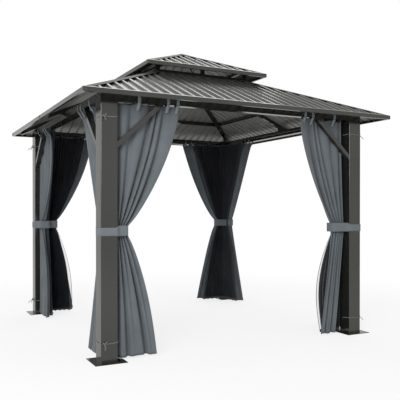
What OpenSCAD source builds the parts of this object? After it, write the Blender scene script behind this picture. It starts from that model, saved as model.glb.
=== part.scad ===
// Square garden gazebo: four tube posts, a two-tier ribbed hip roof,
// and curtains with netting tied back at every corner.
// Millimetres, +Z up, the front side faces -Y, the origin is on the ground under the peak.

/* [Frame] */
// Distance that the lower roof stands out past the posts
overhang = 194; // [150:2:240]
// Width of the square post tube
post_w = 136; // [110:2:150]
// Wall of the post and beam tubes
tube_wall = 2; // [1:0.5:4]
// Radius on the outside edges of a post
post_r = 5; // [4.5:0.5:10]
// Width of the square base plate
plate_w = 262; // [230:2:300]
// Thickness of the base plate
plate_t = 4; // [3:0.5:8]
// Diameter of an anchor hole in the base plate
anchor_d = 11; // [8:0.5:16]
// Distance between two neighbouring anchor holes
anchor_pitch = 206; // [190:2:210]
// Height of the underside of the beams above the ground
beam_z = 2048; // [1900:2:2200]
// Height of a beam
beam_h = 62; // [50:2:64]
// Width of a beam
beam_w = 60; // [40:2:64]

/* [Braces] */
// Length that a knee brace takes along the beam
brace_run = 400; // [300:2:410]
// Drop of a knee brace down the post
brace_drop = 370; // [280:2:420]
// Width of the brace seen from outside
brace_w = 36; // [24:2:50]
// Thickness of the brace through the wall line
brace_t = 48; // [16:2:60]
// Setback of the brace from the outside face of the post
brace_setback = 6; // [2:1:14]

/* [Roof] */
// Width of the lower roof, eave to eave
roof_w = 3000; // [2500:10:3600]
// Width of the upper roof, eave to eave
upper_w = 1300; // [1200:10:1400]
// Slope of both roofs in degrees
roof_pitch = 23.14; // [20:0.1:26]
// Height of the top edge of the lower eave above the beam underside
eave_rise = 48; // [46:1:70]
// Height of the upper eave above the lower roof right below it
vent_rise = 122; // [115:1:160]
// Thickness of the roof sheets
sheet_t = 1.2; // [0.8:0.2:2]
// Height of the ribs in the roof sheets
rib_h = 16; // [10:1:22]
// Distance from rib to rib
rib_pitch = 96.8; // [80:0.2:120]
// Width of the top of a rib
rib_top = 18; // [12:1:24]
// Width of a rib where it leaves the flat of the sheet
rib_foot = 38; // [32:1:50]
// Clearance between the two sheets that meet at a hip, on each side
hip_gap = 9; // [6:1:14]
// Thickness of the hip caps and eave trims
cap_t = 1.5; // [1:0.1:2]
// Width of one wing of a hip cap
cap_wing = 44; // [30:1:60]
// Height of the face of the eave trim
trim_h = 36; // [32:1:48]
// Width of the top flange of the eave trim
trim_flange = 16; // [12:1:24]
// Width of the bottom lip of the eave trim
trim_lip = 20; // [12:1:30]
// Length of the corner cover along each eave
corner_leg = 46; // [30:1:70]
// Gap between the two halves of a lower eave trim
trim_split = 1.2; // [0.8:0.1:3]
// Length of the cover over that gap
joint_w = 40; // [30:1:60]
// Width of the cap on the peak
peak_w = 128; // [100:2:160]

/* [Roof frame] */
// Width of a hip rafter
hip_rafter_w = 40; // [30:2:50]
// Depth of a hip rafter
hip_rafter_d = 40; // [34:1:44]
// Distance from the eave to the lower end of a rafter
rafter_setback = 84; // [76:2:110]
// Width of a middle rafter
mid_rafter_w = 30; // [20:2:40]
// Depth of a middle rafter and of a purlin
mid_rafter_d = 34; // [24:1:36]
// Distance of the purlin ring from the eave
purlin_run = 530; // [450:5:650]
// Width of a purlin along the slope
purlin_w = 30; // [20:2:40]
// Width of the curb round the roof opening
curb_w = 1000; // [920:10:1060]
// Wall of the curb
curb_t = 36; // [24:2:44]
// Height of the curb
curb_h = 92; // [88:2:110]
// Height of the curb above the lower roof
curb_rise = 18; // [10:1:30]
// Width of the short posts that carry the upper roof
stub_w = 34; // [24:2:40]
// Height of the ring under the upper roof
ring_h = 18; // [12:1:24]
// Width of an upper rafter
upper_rafter_w = 30; // [24:2:40]
// Depth of an upper rafter
upper_rafter_d = 28; // [22:1:34]
// Width of the seats under the rafters
seat_w = 60; // [40:2:60]

/* [Curtains] */
// Height of the hem above the ground
hem_z = 16; // [10:1:60]
// Height of the middle of the tie band
band_z = 1026; // [900:2:1150]
// Height of the tie band where it lies on the cloth
band_h = 84; // [60:1:110]
// Thickness of the tie band
band_t = 3; // [2:0.5:5]
// Drop of the curtain header below the beam
header_drop = 8; // [4:1:20]
// Width of a gathered curtain at the header
curtain_top_w = 556; // [500:2:600]
// Width of a gathered curtain inside the tie band
curtain_waist_w = 96; // [86:2:116]
// Width of a gathered curtain at the hem
curtain_hem_w = 350; // [280:2:420]
// Width of a gathered net at the header
net_top_w = 500; // [400:2:560]
// Width of a gathered net at the hem
net_hem_w = 300; // [240:2:380]
// Width of a curtain loop
loop_w = 26; // [20:1:36]
// Thickness of the cloth of a loop
loop_t = 2; // [1:0.5:3]
// Width of the tie strings
string_w = 6; // [4:0.5:10]
// Thickness of the tie strings
string_t = 2.5; // [2:0.5:5]
// Height of the upper tie string
upper_string_z = 1922; // [1850:2:1960]
// Height of the lower tie string
lower_string_z = 152; // [100:2:300]
// Height and width of the net rail
rail_h = 18; // [12:1:22]

/* [Hidden] */
// Clearance where two pieces rest on each other
fit = 0.3;
// Number of sides that a round bore is drawn with
bore_sides = 48;
// Room past a cut so that it clears the solid
over = 1;
// Quarter turn between two sides of the gazebo
quarter = 90;
// Turn of each side, counted from the front
right_turn = quarter;
back_turn = 2 * quarter;
left_turn = 3 * quarter;
half = roof_w / 2;
post_out = half - overhang;
post_in = post_out - post_w;
post_pitch = post_out + post_in;
bay_w = 2 * post_in;
beam_top = beam_z + beam_h;
slope = tan(roof_pitch);
hip_pitch = atan(slope / sqrt(2));
hip_fold = asin(sin(roof_pitch) / sqrt(2));
upper_half = upper_w / 2;
curb_half = curb_w / 2;
eave_z = beam_z + eave_rise;
upper_eave_z = eave_z + slope * (half - upper_half) + vent_rise;
skin = rib_h + fit + cap_t;
pan_drop = skin / cos(roof_pitch);
frame_drop = (skin + sheet_t + fit) / cos(roof_pitch);
curb_top = eave_z + slope * (half - curb_half) + curb_rise;
ring_top = upper_eave_z + slope * (upper_half - curb_half) - frame_drop;
ring_z = ring_top - ring_h;
peak_z = upper_eave_z + slope * upper_half;
tall = 2 * peak_z;
curtain_top = beam_z - header_drop;
net_top = beam_z + rail_h;
rail_z = net_top + fit;
// Half size of the pleats: at the header, in the band and at the hem
pleat_top = 8;
pleat_waist = 16;
pleat_hem = 24;
net_pleat = 5;
// Thickness of the gathered cloth at the same three heights
cloth_top = 8;
cloth_waist = 24;
cloth_hem = 14;
net_cloth = 12;
// Clearance between a brace and the curtain behind it
brace_gap = 2;
// Depths of the curtains and nets, from the outside face of the posts
curtain_mid = brace_setback + brace_t + brace_gap + pleat_top + cloth_top / 2;
waist_mid = 80;
hem_mid = 60;
net_mid = 121;
rail_in = 106;
rail_d = 20;
arm_w = 20;
arm_t = 6;
post_gap = 8;
// Width by which a net is narrower than its curtain inside the band
net_slack = 8;
net_waist_w = curtain_waist_w - net_slack;
pleats = 5;
pleat_steps = 20;
net_pleats = 3;
net_steps = 12;
// Fullness of the lower half of a curtain against height
flare_power = 0.75;
rise_shares = [1, 0.82, 0.64, 0.46, 0.28, 0.12];
fall_shares = [0, 0.2, 0.5, 0.75, 1];
// Distance of the loops from the post
loop_places = [183, 436, 522];
// Places of the arms of the net rail along a side
arm_shares = [-0.466, -0.128, 0.128, 0.466];
// Outline of the tie band beside the post, and its room round the cloth
band_room = 2;
band_run = curtain_waist_w + post_gap + band_room;
band_front = 40;
band_back = post_w + band_room;
band_slant = 0.4;
// Height that the band lacks on the post, at its top and at its foot
band_step_top = 15;
band_step_foot = 4;
knot_w = 18;
knot_d = 9;
knot_shift = 44;
string_reach = 66;

paint = [0.29, 0.29, 0.28];
roof_paint = [0.42, 0.42, 0.41];
cloth = [0.42, 0.45, 0.47];
net = [0.12, 0.12, 0.13];

// Copies of a piece on all four sides or corners.
module each_turn() {
  for (turn = [0 : quarter : left_turn]) {
    rotate(turn) children();
  }
}

// A piece of the front left corner and its mirror image across the corner.
module corner_pair() {
  children();
  mirror([1, -1, 0]) children();
}

// Upright prism over the part of the front side between two distances from the middle,
// kept clear of the corner diagonals by a gap.
module front_sector(outer, inner, gap) {
  linear_extrude(tall)
    polygon([
      [gap - outer, -outer],
      [outer - gap, -outer],
      [max(inner - gap, fit), -inner],
      [-max(inner - gap, fit), -inner]
    ]);
}

// Upright square frame between two half widths.
module plan_ring(outer, inner) {
  linear_extrude(tall)
    difference() {
      square(2 * outer, center = true);
      square(2 * inner, center = true);
    }
}

// Front slope: x along the eave, y up the slope, z out of it.
module on_slope(eave_half, height) {
  translate([0, -eave_half, height]) rotate([roof_pitch, 0, 0]) children();
}

// Front left hip: x up the hip, y across it.
module on_hip(eave_half, height) {
  translate([-eave_half, -eave_half, height])
    rotate([0, 0, quarter / 2])
      rotate([0, -hip_pitch, 0])
        children();
}

// Profile drawn across x, pulled along x from a start to an end.
module pull_x(start, end) {
  translate([start, 0, 0])
    rotate([quarter, 0, quarter])
      linear_extrude(end - start)
        children();
}

function hip_length(eave_half) = eave_half * sqrt(2) / cos(hip_pitch);

module rounded_square(w, r) {
  square([w - 2 * r, w], center = true);
  square([w, w - 2 * r], center = true);
  for (x = [-1, 1], y = [-1, 1]) {
    translate([x * (w / 2 - r), y * (w / 2 - r)]) circle(r, $fn = bore_sides);
  }
}

module post() {
  color(paint)
    translate([-post_pitch / 2, -post_pitch / 2, plate_t])
      linear_extrude(beam_top - plate_t)
        difference() {
          rounded_square(post_w, post_r);
          rounded_square(post_w - 2 * tube_wall, post_r - tube_wall);
        }
}

module base_plates() {
  color(net)
    each_turn()
      translate([-post_pitch / 2, -post_pitch / 2, 0])
        difference() {
          linear_extrude(plate_t) square(plate_w, center = true);
          for (x = [-1, 1], y = [-1, 1]) {
            translate([x * anchor_pitch / 2, y * anchor_pitch / 2, -over])
              cylinder(d = anchor_d, h = plate_t + 2 * over, $fn = bore_sides);
          }
        }
}

module beam() {
  color(paint)
    translate([0, -post_out, beam_z])
      pull_x(-bay_w / 2, bay_w / 2)
        difference() {
          square([beam_w, beam_h]);
          translate([tube_wall, tube_wall])
            square([beam_w - 2 * tube_wall, beam_h - 2 * tube_wall]);
        }
}

module knee_braces() {
  lean = atan(brace_drop / brace_run);
  color(paint)
    each_turn()
      corner_pair()
        translate([-post_in, -post_out + brace_setback + brace_t, beam_z])
          rotate([quarter, 0, 0])
            linear_extrude(brace_t)
              polygon([
                [0, -brace_drop],
                [brace_run, 0],
                [brace_run - brace_w / sin(lean), 0],
                [0, -brace_drop + brace_w / cos(lean)]
              ]);
}

// Blocks that carry the hip rafters on the posts and the middle rafters on the beams.
module rafter_seats() {
  hip_foot = hip_rafter_d + fit;
  mid_foot = mid_rafter_d + fit;
  color(paint)
    each_turn() {
      intersection() {
        translate([-post_pitch / 2, -post_pitch / 2, beam_top])
          rotate(quarter / 2)
            linear_extrude(tall)
              square([seat_w, hip_rafter_w], center = true);
        on_hip(half, eave_z - frame_drop)
          translate([0, -half, -tall - hip_foot])
            cube([roof_w, roof_w, tall]);
      }
      intersection() {
        translate([-mid_rafter_w / 2, -post_out, beam_top])
          cube([mid_rafter_w, beam_w, tall]);
        on_slope(half, eave_z - frame_drop)
          translate([-half, 0, -tall - mid_foot])
            cube([roof_w, roof_w, tall]);
      }
    }
}

// Rafter section with a ridged top that lies flat under both sheets.
module rafter_section(w, d) {
  shoulder = w / 2 * tan(hip_fold);
  polygon([
    [0, 0],
    [w / 2, -shoulder],
    [w / 2, -d],
    [-w / 2, -d],
    [-w / 2, -shoulder]
  ]);
}

module hip_rafters() {
  color(paint)
    each_turn()
      intersection() {
        on_hip(half, eave_z - frame_drop)
          pull_x(0, hip_length(half))
            rafter_section(hip_rafter_w, hip_rafter_d);
        plan_ring(half - rafter_setback, curb_half + fit);
      }
}

module mid_rafters() {
  color(paint)
    each_turn()
      intersection() {
        on_slope(half, eave_z - frame_drop)
          translate([-mid_rafter_w / 2, 0, -mid_rafter_d])
            cube([mid_rafter_w, roof_w, mid_rafter_d]);
        front_sector(half - rafter_setback, curb_half + fit, 0);
      }
}

module purlins() {
  corner_gap = hip_rafter_w / sqrt(2) + fit;
  run = purlin_run / cos(roof_pitch);
  color(paint)
    each_turn()
      difference() {
        intersection() {
          on_slope(half, eave_z - frame_drop)
            translate([-half, run - purlin_w / 2, -mid_rafter_d])
              cube([roof_w, purlin_w, mid_rafter_d]);
          front_sector(half, curb_half, corner_gap);
        }
        translate([-mid_rafter_w / 2 - fit, -half, 0])
          cube([mid_rafter_w + 2 * fit, half, tall]);
      }
}

module roof_curb() {
  color(paint)
    translate([0, 0, curb_top - curb_h])
      linear_extrude(curb_h)
        difference() {
          square(curb_w, center = true);
          square(curb_w - 2 * curb_t, center = true);
        }
}

module lantern_stubs() {
  line = curb_half - curb_t / 2;
  color(paint)
    each_turn() {
      for (x = [-line, 0]) {
        translate([x, -line, curb_top])
          linear_extrude(ring_z - curb_top)
            square(stub_w, center = true);
      }
    }
}

module lantern_ring() {
  color(paint)
    translate([0, 0, ring_z])
      linear_extrude(ring_h)
        difference() {
          square(curb_w, center = true);
          square(curb_w - 2 * curb_t, center = true);
        }
}

module upper_rafters() {
  reach = curb_half - curb_t - fit;
  color(paint)
    each_turn()
      intersection() {
        on_hip(upper_half, upper_eave_z - frame_drop)
          pull_x(0, hip_length(upper_half) + upper_rafter_w)
            rafter_section(upper_rafter_w, upper_rafter_d);
        translate([-reach, -reach, 0]) cube([reach, reach, tall]);
      }
}

// Section of a ribbed sheet: flats between ribs that stand up at an even pitch.
module ribbed_section(width) {
  ribs = floor(width / 2 / rib_pitch);
  skin_line = [
    [-width / 2, 0],
    for (i = [-ribs : ribs], p = rib_line(i * rib_pitch, width)) p,
    [width / 2, 0]
  ];
  last = len(skin_line) - 1;
  polygon(concat(
    skin_line,
    [for (i = [last : -1 : 0]) skin_line[i] - [0, sheet_t]]
  ));
}

function rib_line(x, width) =
  abs(x) + rib_foot / 2 < width / 2
    ? [
        [x - rib_foot / 2, 0],
        [x - rib_top / 2, rib_h],
        [x + rib_top / 2, rib_h],
        [x + rib_foot / 2, 0]
      ]
    : [];

// One roof sheet, cut along both hips.
module ribbed_sheet(eave_half, eave_top, inner) {
  length = (eave_half - inner) / cos(roof_pitch);
  color(roof_paint)
    intersection() {
      on_slope(eave_half, eave_top - pan_drop)
        translate([0, length + rib_h, 0])
          rotate([quarter, 0, 0])
            linear_extrude(length + 2 * rib_h)
              ribbed_section(2 * eave_half);
      front_sector(eave_half - cap_t - fit, inner, hip_gap);
    }
}

module lower_sheet() {
  ribbed_sheet(half, eave_z, curb_half + fit);
}

module upper_sheet() {
  ribbed_sheet(upper_half, upper_eave_z, 2 * hip_gap);
}

// Folded strip over a hip, its wings lying on the ribs of both sheets.
module hip_cap(eave_half, eave_top, inner) {
  reach = cap_wing * cos(hip_fold);
  drop = cap_wing * sin(hip_fold);
  fold = cap_t / cos(hip_fold);
  clear = eave_half - trim_flange - fit;
  color(roof_paint)
    intersection() {
      on_hip(eave_half, eave_top)
        pull_x(-cap_wing, hip_length(eave_half) + cap_wing)
          polygon([
            [0, 0],
            [reach, -drop],
            [reach, -drop - fold],
            [0, -fold],
            [-reach, -drop - fold],
            [-reach, -drop]
          ]);
      translate([-clear, -clear, 0])
        linear_extrude(tall)
          difference() {
            square(clear - over);
            translate([clear - inner, clear - inner]) square(inner);
          }
    }
}

module lower_hip_caps() {
  each_turn() hip_cap(half, eave_z, curb_half + fit);
}

module upper_hip_caps() {
  each_turn() hip_cap(upper_half, upper_eave_z, over);
}

module peak_cap() {
  rise = slope * peak_w / 2;
  wall = cap_t / cos(roof_pitch);
  foot = peak_z + wall + fit - rise;
  color(roof_paint)
    translate([0, 0, foot])
      rotate(quarter / 2)
        difference() {
          cylinder(h = rise, r1 = peak_w / sqrt(2), r2 = 0, $fn = 4);
          translate([0, 0, -wall])
            cylinder(h = rise, r1 = peak_w / sqrt(2), r2 = 0, $fn = 4);
        }
}

// Trim along one eave: a face, a top flange on the ribs and a bottom lip, cut in two by a gap.
module eave_trim(eave_half, eave_top, gap) {
  flange_rise = trim_flange * slope;
  wall = cap_t / cos(roof_pitch);
  foot = eave_top - trim_h;
  color(paint)
    difference() {
      intersection() {
        translate([0, -eave_half, 0])
          pull_x(-eave_half, eave_half)
            polygon([
              [0, foot],
              [0, eave_top],
              [trim_flange, eave_top + flange_rise],
              [trim_flange, eave_top + flange_rise - wall],
              [cap_t, eave_top + cap_t * slope - wall],
              [cap_t, foot + cap_t],
              [trim_lip, foot + cap_t],
              [trim_lip, foot]
            ]);
        front_sector(eave_half + over, eave_half - trim_lip - trim_flange, fit);
      }
      if (gap > 0) {
        translate([-gap / 2, -eave_half - over, 0])
          cube([gap, eave_half, tall]);
      }
    }
}

module lower_eave_trims() {
  each_turn() eave_trim(half, eave_z, trim_split);
}

module upper_eave_trims() {
  each_turn() eave_trim(upper_half, upper_eave_z, 0);
}

// Covers over the gaps of the lower eave trims.
module eave_joints() {
  color(paint)
    each_turn()
      translate([-joint_w / 2, -half - fit - cap_t, eave_z - trim_h])
        cube([joint_w, cap_t, trim_h]);
}

// Folded cover over the mitre of two eave trims.
module eave_corner(eave_half, eave_top) {
  near = eave_half + fit;
  far = near + cap_t;
  color(paint)
    translate([0, 0, eave_top - trim_h])
      linear_extrude(trim_h)
        polygon([
          [-far, -far],
          [corner_leg - far, -far],
          [corner_leg - far, -near],
          [-near, -near],
          [-near, corner_leg - far],
          [-far, corner_leg - far]
        ]);
}

module eave_corners() {
  each_turn() {
    eave_corner(half, eave_z);
    eave_corner(upper_half, upper_eave_z);
  }
}

module net_rails() {
  color(paint)
    each_turn() {
      translate([fit - bay_w / 2, -post_out + rail_in, rail_z])
        cube([bay_w - 2 * fit, rail_d, rail_h]);
      for (share = arm_shares) {
        translate([share * bay_w - arm_w / 2, -post_out + beam_w, rail_z + rail_h / 2])
          cube([arm_w, rail_in - beam_w + over, arm_t]);
      }
    }
}

// Cloth loop round the beam with a tail down to the curtain header below the beam.
module curtain_loop(x) {
  inner_w = beam_w + 2 * fit;
  inner_h = beam_h + 2 * fit;
  translate([0, -post_out, beam_z])
    pull_x(x - loop_w / 2, x + loop_w / 2) {
      difference() {
        translate([-fit - loop_t, -fit - loop_t])
          square([inner_w + 2 * loop_t, inner_h + 2 * loop_t]);
        translate([-fit, -fit]) square([inner_w, inner_h]);
      }
      translate([curtain_mid - pleat_top, -header_drop])
        square([2 * pleat_top, header_drop - fit]);
    }
}

module curtain_loops() {
  color(cloth)
    each_turn()
      corner_pair() {
        for (place = loop_places) {
          curtain_loop(place - post_in);
        }
      }
}

// Closed ring of points round the gathered cloth at one height.
function cloth_ring(row, steps, waves) = [
  for (side = [-1, 1], j = [0 : steps])
    let (i = side < 0 ? j : steps - j)
    [
      -post_in + post_gap + row[1] * i / steps,
      -post_out + row[2] + row[3] * cos(i * waves * 4 * quarter / steps) + side * row[4] / 2,
      row[0]
    ]
];

function blend(a, b, share) = a + (b - a) * share;

// Rows of a tied-back cloth from header to hem: height, width, depth, pleat, thickness.
function cloth_rows(top, widths, mids, folds, thicks) = concat(
  [
    for (s = rise_shares) [
      blend(band_z + band_h / 2, top, s),
      blend(widths[1], widths[0], sin(quarter * s)),
      blend(mids[1], mids[0], s),
      blend(folds[1], folds[0], s),
      blend(thicks[1], thicks[0], s)
    ]
  ],
  [[band_z + band_h / 2, widths[1], mids[1], folds[1], thicks[1]]],
  [
    for (s = fall_shares) [
      blend(band_z - band_h / 2, hem_z, s),
      blend(widths[1], widths[2], pow(s, flare_power)),
      blend(mids[1], mids[2], s),
      blend(folds[1], folds[2], s),
      blend(thicks[1], thicks[2], s)
    ]
  ]
);

// Gathered cloth through those rows.
module cloth_loft(rows, steps, waves) {
  n = 2 * (steps + 1);
  last = len(rows) - 1;
  points = [for (row = rows, p = cloth_ring(row, steps, waves)) p];
  walls = [
    for (r = [0 : last - 1], j = [0 : n - 1])
      let (a = r * n + j, b = r * n + (j + 1) % n)
      each [[a, b, a + n], [b, b + n, a + n]]
  ];
  header = [for (j = [n - 1 : -1 : 0]) j];
  hem = [for (j = [0 : n - 1]) last * n + j];
  polyhedron(points, concat(walls, [header, hem]));
}

module curtain() {
  rows = cloth_rows(
    curtain_top,
    [curtain_top_w, curtain_waist_w, curtain_hem_w],
    [curtain_mid, waist_mid, hem_mid],
    [pleat_top, pleat_waist, pleat_hem],
    [cloth_top, cloth_waist, cloth_hem]
  );
  color(cloth)
    corner_pair()
      cloth_loft(rows, pleat_steps, pleats);
}

module netting() {
  rows = cloth_rows(
    net_top,
    [net_top_w, net_waist_w, net_hem_w],
    [net_mid, net_mid, net_mid],
    [net_pleat, net_pleat, net_pleat],
    [net_cloth, net_cloth, net_cloth]
  );
  color(net)
    corner_pair()
      cloth_loft(rows, net_steps, net_pleats);
}

// Outline of the tie band round a post and its two gathered curtains, grown by an amount.
function band_side(g) = [
  [-post_in, -post_out - g],
  [-post_in + band_run + g, -post_out + band_front - band_slant * g],
  [-post_in + band_run + g, -post_out + band_back + band_slant * g]
];

function band_line(g) =
  let (side = band_side(g))
  concat(
    [[-post_out - g, -post_out - g]],
    side,
    [for (i = [2 : -1 : 0]) [side[i][1], side[i][0]]]
  );

module tie_bands() {
  color(cloth)
    each_turn()
      translate([0, 0, band_z - band_h / 2])
        difference() {
          linear_extrude(band_h)
            difference() {
              polygon(band_line(fit + band_t));
              polygon(band_line(fit));
            }
          band_cut(-over, band_step_foot + over);
          band_cut(band_h - band_step_top, band_step_top + over);
        }
}

// Block over the post that takes height off the band there.
module band_cut(foot, height) {
  translate([-post_out - post_w, -post_out - post_w, foot])
    cube([2 * post_w, 2 * post_w, height]);
}

// String round the two outside faces of a post, knotted on one of them.
module tie_string(height) {
  hole = post_w + 2 * fit;
  translate([-post_pitch / 2, -post_pitch / 2, height - string_w / 2]) {
    linear_extrude(string_w)
      difference() {
        square(hole + 2 * string_t, center = true);
        square(hole, center = true);
        translate([string_reach - post_w / 2, string_reach - post_w / 2]) square(2 * post_w);
      }
    translate([-knot_shift - knot_w / 2, -hole / 2 - knot_d, -knot_w / 4])
      cube([knot_w, knot_d, knot_w]);
  }
}

module tie_strings() {
  color(cloth)
    each_turn() {
      tie_string(upper_string_z);
      tie_string(lower_string_z);
    }
}

post();  // post_front_left
rotate(right_turn) post();  // post_front_right
rotate(back_turn) post();  // post_back_right
rotate(left_turn) post();  // post_back_left
base_plates();
beam();  // beam_front
rotate(right_turn) beam();  // beam_right
rotate(back_turn) beam();  // beam_back
rotate(left_turn) beam();  // beam_left
knee_braces();
rafter_seats();
hip_rafters();
mid_rafters();
purlins();
roof_curb();
lantern_stubs();
lantern_ring();
upper_rafters();
lower_sheet();  // lower_sheet_front
rotate(right_turn) lower_sheet();  // lower_sheet_right
rotate(back_turn) lower_sheet();  // lower_sheet_back
rotate(left_turn) lower_sheet();  // lower_sheet_left
upper_sheet();  // upper_sheet_front
rotate(right_turn) upper_sheet();  // upper_sheet_right
rotate(back_turn) upper_sheet();  // upper_sheet_back
rotate(left_turn) upper_sheet();  // upper_sheet_left
lower_hip_caps();
upper_hip_caps();
peak_cap();
lower_eave_trims();
upper_eave_trims();
eave_corners();
eave_joints();
net_rails();
curtain_loops();
curtain();  // curtain_front_left
rotate(right_turn) curtain();  // curtain_front_right
rotate(back_turn) curtain();  // curtain_back_right
rotate(left_turn) curtain();  // curtain_back_left
netting();  // net_front_left
rotate(right_turn) netting();  // net_front_right
rotate(back_turn) netting();  // net_back_right
rotate(left_turn) netting();  // net_back_left
tie_bands();
tie_strings();
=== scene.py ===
"""Looks of the two-tier garden gazebo: paints, gathered cloth, ties, small fasteners and light."""
import math

import bpy
import numpy as np
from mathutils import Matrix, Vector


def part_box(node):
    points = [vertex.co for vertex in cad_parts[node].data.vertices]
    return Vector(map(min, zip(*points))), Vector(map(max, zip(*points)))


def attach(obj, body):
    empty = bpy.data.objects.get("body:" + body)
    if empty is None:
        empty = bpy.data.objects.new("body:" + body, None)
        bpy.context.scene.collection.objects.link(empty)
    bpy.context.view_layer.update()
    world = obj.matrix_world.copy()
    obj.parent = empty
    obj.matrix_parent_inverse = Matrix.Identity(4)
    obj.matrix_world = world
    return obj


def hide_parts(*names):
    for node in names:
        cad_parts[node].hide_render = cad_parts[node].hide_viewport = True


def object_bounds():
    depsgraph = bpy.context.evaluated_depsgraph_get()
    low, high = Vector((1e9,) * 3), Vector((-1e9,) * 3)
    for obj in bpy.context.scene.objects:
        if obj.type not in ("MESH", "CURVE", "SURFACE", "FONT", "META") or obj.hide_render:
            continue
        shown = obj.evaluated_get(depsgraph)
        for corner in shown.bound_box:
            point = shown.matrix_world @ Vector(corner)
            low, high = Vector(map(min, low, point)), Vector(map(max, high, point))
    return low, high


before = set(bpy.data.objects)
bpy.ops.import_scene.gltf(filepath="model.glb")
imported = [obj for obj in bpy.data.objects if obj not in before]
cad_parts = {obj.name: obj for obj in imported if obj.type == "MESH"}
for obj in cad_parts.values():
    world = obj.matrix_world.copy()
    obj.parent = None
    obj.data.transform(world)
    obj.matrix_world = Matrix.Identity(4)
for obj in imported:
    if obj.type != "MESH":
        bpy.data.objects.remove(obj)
cad_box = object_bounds()

MM = 0.001
QUARTER = math.pi / 2

# Corners of the plan, in turning order
# Side 0 of a corner is the bay after it, and side 1 the bay before it
CORNERS = ("front_left", "front_right", "back_right", "back_left")

# Places taken from the frame, in metres
post_low, post_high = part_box("post_front_left")
beam_low, beam_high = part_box("beam_front")
band_low, band_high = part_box("tie_bands")
cloth_low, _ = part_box("curtain_front_left")
rail_low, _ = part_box("net_rails")
trim_low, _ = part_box("lower_eave_trims")
upper_low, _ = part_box("upper_eave_trims")

POST_OUT = -post_low.x
POST_IN = -post_high.x
POST_W = POST_OUT - POST_IN
BEAM_W = beam_high.y - beam_low.y
HEM_Z = cloth_low.z
BAND_LOW = band_low.z
BAND_TOP = band_high.z
ROOF_TOP = cad_box[1][2]

# Cut size of the cloth: the width that its folds hold, and its height from the header to the hem
CURTAIN_FLAT = (0.64, 2.02)
NET_FLAT = (1.18, 2.04)


# Mesh building

# A direction that no cord runs along, from which the first ring of a tube is turned
ODD_DIRECTION = (0.31, 0.57, 0.76)
# An axis whose vertical part is larger than this counts as upright
UPRIGHT = 0.9
# Share of a stretch of path that each rounding of its corners cuts off
CUT_SHARE = 0.25


def turned(x, y, turn):
    """A place in plan, moved on by a number of quarter turns."""
    c, s = round(math.cos(turn * QUARTER)), round(math.sin(turn * QUARTER))
    return c * x - s * y, s * x + c * y


def place(points, turn, side):
    """Points (along the bay from the post, inward from the outside face, height) at one corner."""
    points = np.asarray(points, float)
    along = points[..., 0] - POST_IN
    across = points[..., 1] - POST_OUT
    x, y = (across, along) if side else (along, across)
    return np.stack([*turned(x, y, turn), points[..., 2]], -1)


def mesh_object(name, points, faces, uvs=None):
    """A smooth mesh piece in the scene."""
    mesh = bpy.data.meshes.new(name)
    mesh.from_pydata([tuple(p) for p in points], [], [tuple(f) for f in faces])
    if uvs is not None:
        layer = mesh.uv_layers.new(name="cloth")
        picked = np.asarray(uvs)[[v for f in faces for v in f]]
        layer.data.foreach_set("uv", picked.astype(np.float32).ravel())
    mesh.polygons.foreach_set("use_smooth", [True] * len(mesh.polygons))
    mesh.update()
    piece = bpy.data.objects.new(name, mesh)
    bpy.context.scene.collection.objects.link(piece)
    return piece


def grid_faces(rows, cols, closed=False):
    """Four-sided faces of a grid of points, joined round its rows where it is closed."""
    faces = []
    for r in range(rows - 1):
        for c in range(cols if closed else cols - 1):
            d = (c + 1) % cols
            faces.append((r * cols + c, r * cols + d, (r + 1) * cols + d, (r + 1) * cols + c))
    return faces


def tube_faces(rings, sides):
    """Faces of a row of rings, closed at both ends."""
    last = (rings - 1) * sides
    ends = [tuple(range(sides - 1, -1, -1)), tuple(range(last, last + sides))]
    return grid_faces(rings, sides, closed=True) + ends


class Parts:
    """Collects many small shapes into one mesh."""

    def __init__(self):
        self.points = []
        self.faces = []

    def add(self, points, faces):
        start = len(self.points)
        self.points.extend(tuple(p) for p in points)
        self.faces.extend(tuple(start + v for v in f) for f in faces)

    def tube(self, path, radius, sides):
        """A round cord along a path."""
        path = np.asarray(path, float)
        ring = np.linspace(0, 2 * math.pi, sides, endpoint=False)
        tangents = np.gradient(path, axis=0)
        tangents /= np.linalg.norm(tangents, axis=1)[:, None]
        normal = np.cross(tangents[0], ODD_DIRECTION)
        rings = []
        for point, tangent in zip(path, tangents):
            normal = normal - tangent * (normal @ tangent)
            normal /= np.linalg.norm(normal)
            other = np.cross(tangent, normal)
            rings.append(point + radius * (np.outer(np.cos(ring), normal) + np.outer(np.sin(ring), other)))
        self.add(np.concatenate(rings), tube_faces(len(path), sides))

    def revolve(self, profile, centre, axis, sides):
        """A turned shape: profile of (radius, height) along an axis."""
        axis = np.asarray(axis, float)
        side = np.cross(axis, (0.0, 0.0, 1.0) if abs(axis[2]) < UPRIGHT else (1.0, 0.0, 0.0))
        side /= np.linalg.norm(side)
        other = np.cross(axis, side)
        ring = np.linspace(0, 2 * math.pi, sides, endpoint=False)
        round_it = np.outer(np.cos(ring), side) + np.outer(np.sin(ring), other)
        points = [np.asarray(centre) + radius * round_it + height * axis for radius, height in profile]
        self.add(np.concatenate(points), tube_faces(len(profile), sides))

    def ribbon(self, path, across, width, thick):
        """A flat strip along a path, with its width along one direction."""
        path = np.asarray(path, float)
        across = np.asarray(across, float) * width / 2
        normals = np.cross(np.gradient(path, axis=0), across)
        normals *= thick / 2 / np.linalg.norm(normals, axis=1)[:, None]
        corners = [-across - normals, across - normals, across + normals, normals - across]
        points = np.stack([path + corner for corner in corners], 1)
        self.add(points.reshape(-1, 3), tube_faces(len(path), len(corners)))

    def piece(self, name):
        return mesh_object(name, self.points, self.faces)


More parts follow.
